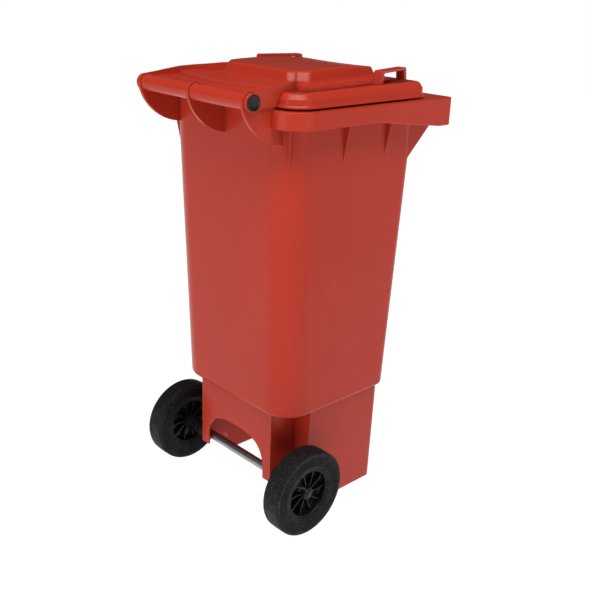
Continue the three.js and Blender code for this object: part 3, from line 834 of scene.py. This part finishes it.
def makeWings():
    line = [point for point in addSmoothPoints(wingLine, 9) if point[1] < hinge["y"] - 3]
    bm = bmesh.new()
    verts = [bm.verts.new((x, y, heightAt(wingFoot, y))) for x, y in line]
    edges = [bm.edges.new((a, b)) for a, b in zip(verts, verts[1:])]
    risen = bmesh.ops.extrude_edge_only(bm, edges=edges)["geom"]
    for vert in (g for g in risen if isinstance(g, bmesh.types.BMVert)):
        vert.co.z = heightAt(wingTop, vert.co.y)
    bmesh.ops.recalc_face_normals(bm, faces=bm.faces)
    bm.normal_update()
    bmesh.ops.solidify(bm, geom=bm.faces[:], thickness=apron["wing"])
    outward = max(bm.verts, key=lambda v: v.co.x).co.x
    if outward > wingLine[0][0] + 1:  # the wall went to the wrong side
        bmesh.ops.translate(bm, vec=(-apron["wing"], 0, 0), verts=bm.verts)
    mirrorAcross(bm)
    wings = newPiece("lidWings", bm, redPlastic)
    carve(wings, makeDome("domeSpace", lid["wall"]))
    roundEdges(wings, 1.5, 3, 40)
    settle(wings, "lid", redPlastic)


def apronOutline(end, turn):
    line = [(x - 2, y) for x, y in reversed(addSmoothPoints(wingLine, 6)) if y < end]
    rightSide = [(100, line[0][1] - 6)] + line + turn
    return rightSide + [(-x, y) for x, y in reversed(rightSide) if x > 0]


def makeApron():
    bm = bmesh.new()
    cornerX, cornerY = apron["panelCorner"]
    turn = [(cornerX + 10, cornerY - 14), (cornerX + 8, cornerY - 7), (cornerX + 4, cornerY - 2)]
    for i in range(11):  # bowed rear edge
        x = cornerX * (1 - i / 10)
        bow = (apron["panelMiddle"] - cornerY) * (x / cornerX) ** 2
        turn.append((x, apron["panelMiddle"] - bow))
    outline = apronOutline(apron["panelSide"], turn)
    for vert in extrudeOutline(bm, [(x, y, lid["top"] - 2) for x, y in outline]):
        vert.co.z = apron["panel"] - apron["panelFall"] * (vert.co.y - 110) / 110
        vert.co.y -= apron["slope"] * min(max((vert.co.y - 196) / 16, 0), 1)
    panel = newPiece("lidApronPanel", bm, redPlastic)
    roundEdges(panel, 2.5, 4, 30)
    settle(panel, "lid", redPlastic)
    bm = bmesh.new()
    outline = apronOutline(hinge["y"] - 9, [(169, hinge["y"] - 9)])
    under = apron["low"] - apron["plate"]
    far = extrudeOutline(bm, [(x, max(y, apron["plateFront"]), under) for x, y in outline])
    bmesh.ops.translate(bm, vec=(0, 0, apron["plate"]), verts=far)
    plate = newPiece("lidApronPlate", bm, redPlastic)
    for left in (-gusset["outer"], -gusset["thickness"] / 2, gusset["outer"] - gusset["thickness"]):
        slot = bmesh.new()
        low, high = left - bar["gap"], left + gusset["thickness"] + bar["gap"]
        addRod(slot, bar["slot"], low, high, hinge)
        carve(plate, newPiece("gussetSlot", slot, redPlastic))
    roundEdges(plate, 0.8, 2, 40)
    settle(plate, "lid", redPlastic)


def makeHingeBar():
    start = gusset["thickness"] / 2 + bar["gap"]
    end = gusset["outer"] - gusset["thickness"] - bar["gap"]
    radius, collar = bar["radius"], bar["radius"] + bar["collar"]
    profile = [(bar["bore"], start), (collar - 0.8, start), (collar, start + 0.8), (collar, start + 3)]
    profile += [(radius + 0.2, start + 4.2), (radius, start + 6)]
    profile += [(radius, end - 6), (radius + 0.2, end - 4.2)]
    profile += [(collar, end - 3), (collar, end - 0.8), (collar - 0.8, end), (bar["bore"], end)]
    bm = bmesh.new()
    addTurned(bm, profile, hinge["y"], hinge["z"], 72)
    face = gusset["outer"] + bar["gap"]
    last = face + eye["width"]
    outer = eye["radius"]
    ring = [(bar["bore"], face), (outer - 0.6, face), (outer, face + 0.6), (outer, face + 2.4)]
    ring += [(outer - 0.7, face + 2.9), (outer - 0.7, face + 3.5), (outer, face + 4)]  # fine groove
    ring += [(outer, last - 1), (outer - 1, last), (bar["bore"], last)]
    addTurned(bm, ring, hinge["y"], hinge["z"], 72)
    mirrorAcross(bm)
    tube = newPiece("lidHingeBar", bm, redPlastic)
    tube.data.set_sharp_from_angle(angle=math.radians(50))
    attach(tube, "lid")


def makePins():
    seat = gusset["outer"] + bar["gap"] + eye["width"] + 0.3
    face = seat + pin["capThick"]
    start = seat - pin["length"]
    profile = [(0.01, start), (pin["shank"] - 1.5, start), (pin["shank"], start + 1.5), (pin["shank"], seat)]
    profile += [(pin["cap"] - 0.3, seat), (pin["cap"], seat + 0.3)]
    for across, up in quarterTurn(4):
        profile.append((pin["cap"] - pin["capRound"] * across, face - pin["capRound"] * (1 - up)))
    profile += [(pin["cap"] - 3, face), (pin["cap"] - 3.6, face - 0.5), (4, face - 0.3), (0.01, face - 0.3)]
    for side, name in ((1, "right"), (-1, "left")):
        bm = bmesh.new()
        addTurned(bm, [(radius, side * x) for radius, x in profile], hinge["y"], hinge["z"], 64)
        piece = newPiece("hingePin" + name.title(), bm, blackPlastic)
        piece.data.set_sharp_from_angle(angle=math.radians(50))
        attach(piece, "lid")
        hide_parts("hinge_pin_" + name)


def makeGrips():
    half = grip["length"] / 2
    foot = lid["top"] - 1
    under = grip["top"] - grip["bar"]
    post, lean = grip["post"], grip["lean"]
    outline = [
        (-half - 1, foot), (-half + post + 1, foot), (-half + post + lean, under),
        (half - post - lean, under), (half - post - 1, foot), (half + 1, foot),
        (half - lean, grip["top"]), (-half + lean, grip["top"]),
    ]
    bm = bmesh.new()
    addPlate(bm, outline, -grip["width"] / 2, grip["width"] / 2)
    for reach, radius in ((grip["top"], grip["soften"]), (under, grip["underSoften"])):
        corners = [
            e for e in bm.edges
            if abs(e.verts[0].co.x - e.verts[1].co.x) > 1 and abs(e.verts[0].co.z - reach) < 0.1
        ]
        bmesh.ops.bevel(
            bm, geom=corners, offset=radius, offset_type="OFFSET", segments=4, profile=0.5, affect="EDGES",
            material=-1,
        )
    atGrip(bm)
    mirrorAcross(bm)
    piece = newPiece("lidGrips", bm, redPlastic)
    roundEdges(piece, 1.3, 3, 40)
    settle(piece, "lid", redPlastic)


makeWings()
makeApron()
makeHingeBar()
makePins()
makeGrips()
print("hinge side of the lid ready")


# axle and wheels

tyre = {"radius": 100, "inner": 57, "width": 46, "outerFace": 239, "shoulder": 4}
hub = {
    "rimThick": 4, "width": 38, "web": 4, "boss": 16, "bossFace": 231, "innerBoss": 125.8,
    "spokes": 10, "spokeThick": 1.8, "spokeWidth": 26, "bow": 4.2,
}
washer = {"radius": 14, "bore": 10.3, "thickness": 2, "gap": 0.8}


def tyreProfile():
    inside, outside = tyre["outerFace"] - tyre["width"], tyre["outerFace"]
    radius, inner, shoulder = tyre["radius"], tyre["inner"], tyre["shoulder"]
    sidewall = [(inner, -3.2), (inner + 0.8, -2.6), (inner + 6, -1.6), (inner + 7, -0.8)]
    for ring in range(5):  # fine moulded rings round the sidewall
        start = inner + 12 + 4.4 * ring
        sidewall += [(start, -0.3), (start + 0.6, -1.5), (start + 1.4, -1.5), (start + 2.0, -0.3)]
    sidewall += [(radius - shoulder - 1, -0.3)]
    for across, up in reversed(quarterTurn(6)):
        sidewall.append((radius - 0.6 - shoulder * across, -shoulder * 0.85 * (1 - up) - 0.1))
    tread = [(radius - 0.25, -14), (radius, -tyre["width"] / 2)]
    outerHalf = [(r, outside + depth) for r, depth in sidewall + tread]
    innerHalf = [(r, inside - depth) for r, depth in reversed(sidewall + tread[:-1])]
    return outerHalf + innerHalf


def makeTyres():
    for side, name in ((1, "right"), (-1, "left")):
        bm = bmesh.new()
        addTurned(bm, [(radius, side * x) for radius, x in tyreProfile()], axle["y"], axle["z"], 96)
        piece = newPiece("tyre" + name.title(), bm, tyreRubber)
        piece.data.set_sharp_from_angle(angle=math.radians(60))
        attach(piece, "wheel_" + name)
        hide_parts("tyre_" + name)


def hubProfile():
    rimRadius = tyre["inner"] - 0.3
    middle = tyre["outerFace"] - tyre["width"] / 2
    inner = rimRadius - hub["rimThick"]
    bore, boss = axle["radius"] + 0.4, hub["boss"]
    half, web = hub["width"] / 2, hub["web"] / 2
    return [
        (bore, hub["innerBoss"]), (boss - 1, hub["innerBoss"]), (boss, hub["innerBoss"] + 1),
        (boss + 1.5, middle - web - 6), (boss + 4, middle - web), (inner - 3, middle - web),
        (inner, middle - web - 3), (inner + 1, middle - half + 1.2), (inner + 2, middle - half),
        (rimRadius - 1, middle - half), (rimRadius, middle - half + 1), (rimRadius, middle + half - 1),
        (rimRadius - 1, middle + half), (inner + 2, middle + half), (inner + 1, middle + half - 1.2),
        (inner, middle + web + 3), (inner - 3, middle + web), (boss + 4, middle + web),
        (boss - 2, middle + web + 5), (boss - 4, hub["bossFace"] - 1), (boss - 5, hub["bossFace"]),
        (bore, hub["bossFace"]),
    ]


def makeHubs():
    middle = tyre["outerFace"] - tyre["width"] / 2
    start, end = hub["boss"] - 3, tyre["inner"] - hub["rimThick"] + 1
    for side, name in ((1, "right"), (-1, "left")):
        bm = bmesh.new()
        addTurned(bm, [(radius, side * x) for radius, x in hubProfile()], axle["y"], axle["z"], 80)
        for i in range(hub["spokes"]):
            line = bezier((start, 0), (start + 10, hub["bow"]), (end - 12, hub["bow"]), (end, 0), 8)
            inside = side * (middle - hub["spokeWidth"] / 2)
            verts = [bm.verts.new((inside, radius, across)) for radius, across in line]
            edges = [bm.edges.new((a, b)) for a, b in zip(verts, verts[1:])]
            risen = bmesh.ops.extrude_edge_only(bm, edges=edges)["geom"]
            far = [g for g in risen if isinstance(g, bmesh.types.BMVert)]
            bmesh.ops.translate(bm, vec=(side * hub["spokeWidth"], 0, 0), verts=far)
            sheet = list({f for v in far for f in v.link_faces})
            thick = bmesh.ops.solidify(bm, geom=sheet, thickness=hub["spokeThick"])["geom"]
            blade = list(set(verts + far + [g for g in thick if isinstance(g, bmesh.types.BMVert)]))
            turn = Matrix.Rotation(2 * math.pi * i / hub["spokes"], 4, "X")
            bmesh.ops.transform(bm, matrix=Matrix.Translation((0, axle["y"], axle["z"])) @ turn, verts=blade)
        piece = newPiece("wheelHub" + name.title(), bm, blackPlastic)
        roundEdges(piece, 0.4, 2, 40)
        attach(piece, "wheel_" + name)
        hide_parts("wheel_hub_" + name)


def makeAxle():
    reach, radius = axle["reach"], axle["radius"]
    end = [(0.01, reach), (radius - 1.5, reach), (radius - 0.4, reach - 0.5), (radius, reach - 1.5)]
    bm = bmesh.new()
    addTurned(bm, end + [(r, -x) for r, x in reversed(end)], axle["y"], axle["z"], 48)
    rod = newPiece("axleRod", bm, steel)
    rod.data.materials.append(darkSteel)
    for face in rod.data.polygons:  # ends past the washers are blackened
        face.material_index = int(abs(face.center.x) > 0.23)
    rod.data.set_sharp_from_angle(angle=math.radians(50))
    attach(rod, "bin")
    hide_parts("axle")
    for side, name in ((1, "right"), (-1, "left")):
        start = hub["bossFace"] + washer["gap"]
        end = start + washer["thickness"]
        profile = [(washer["bore"], start), (washer["radius"] - 0.4, start), (washer["radius"], start + 0.5)]
        profile += [(washer["radius"], end - 0.5), (washer["radius"] - 0.4, end), (washer["bore"], end)]
        bm = bmesh.new()
        addTurned(bm, [(r, side * x) for r, x in profile], axle["y"], axle["z"], 48)
        piece = newPiece("axleWasher" + name.title(), bm, darkSteel)
        piece.data.set_sharp_from_angle(angle=math.radians(50))
        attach(piece, "bin")
        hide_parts("axle_washer_" + name)


makeTyres()
makeHubs()
makeAxle()
print("wheels ready")


# floor

floorBm = bmesh.new()
bmesh.ops.create_grid(floorBm, x_segments=1, y_segments=1, size=studio["floorSize"] / 2)
floorMesh = bpy.data.meshes.new("floor")
floorBm.to_mesh(floorMesh)
floorBm.free()
floorMesh.materials.append(floorPaint)
floor = bpy.data.objects.new("floor", floorMesh)
bpy.context.scene.collection.objects.link(floor)
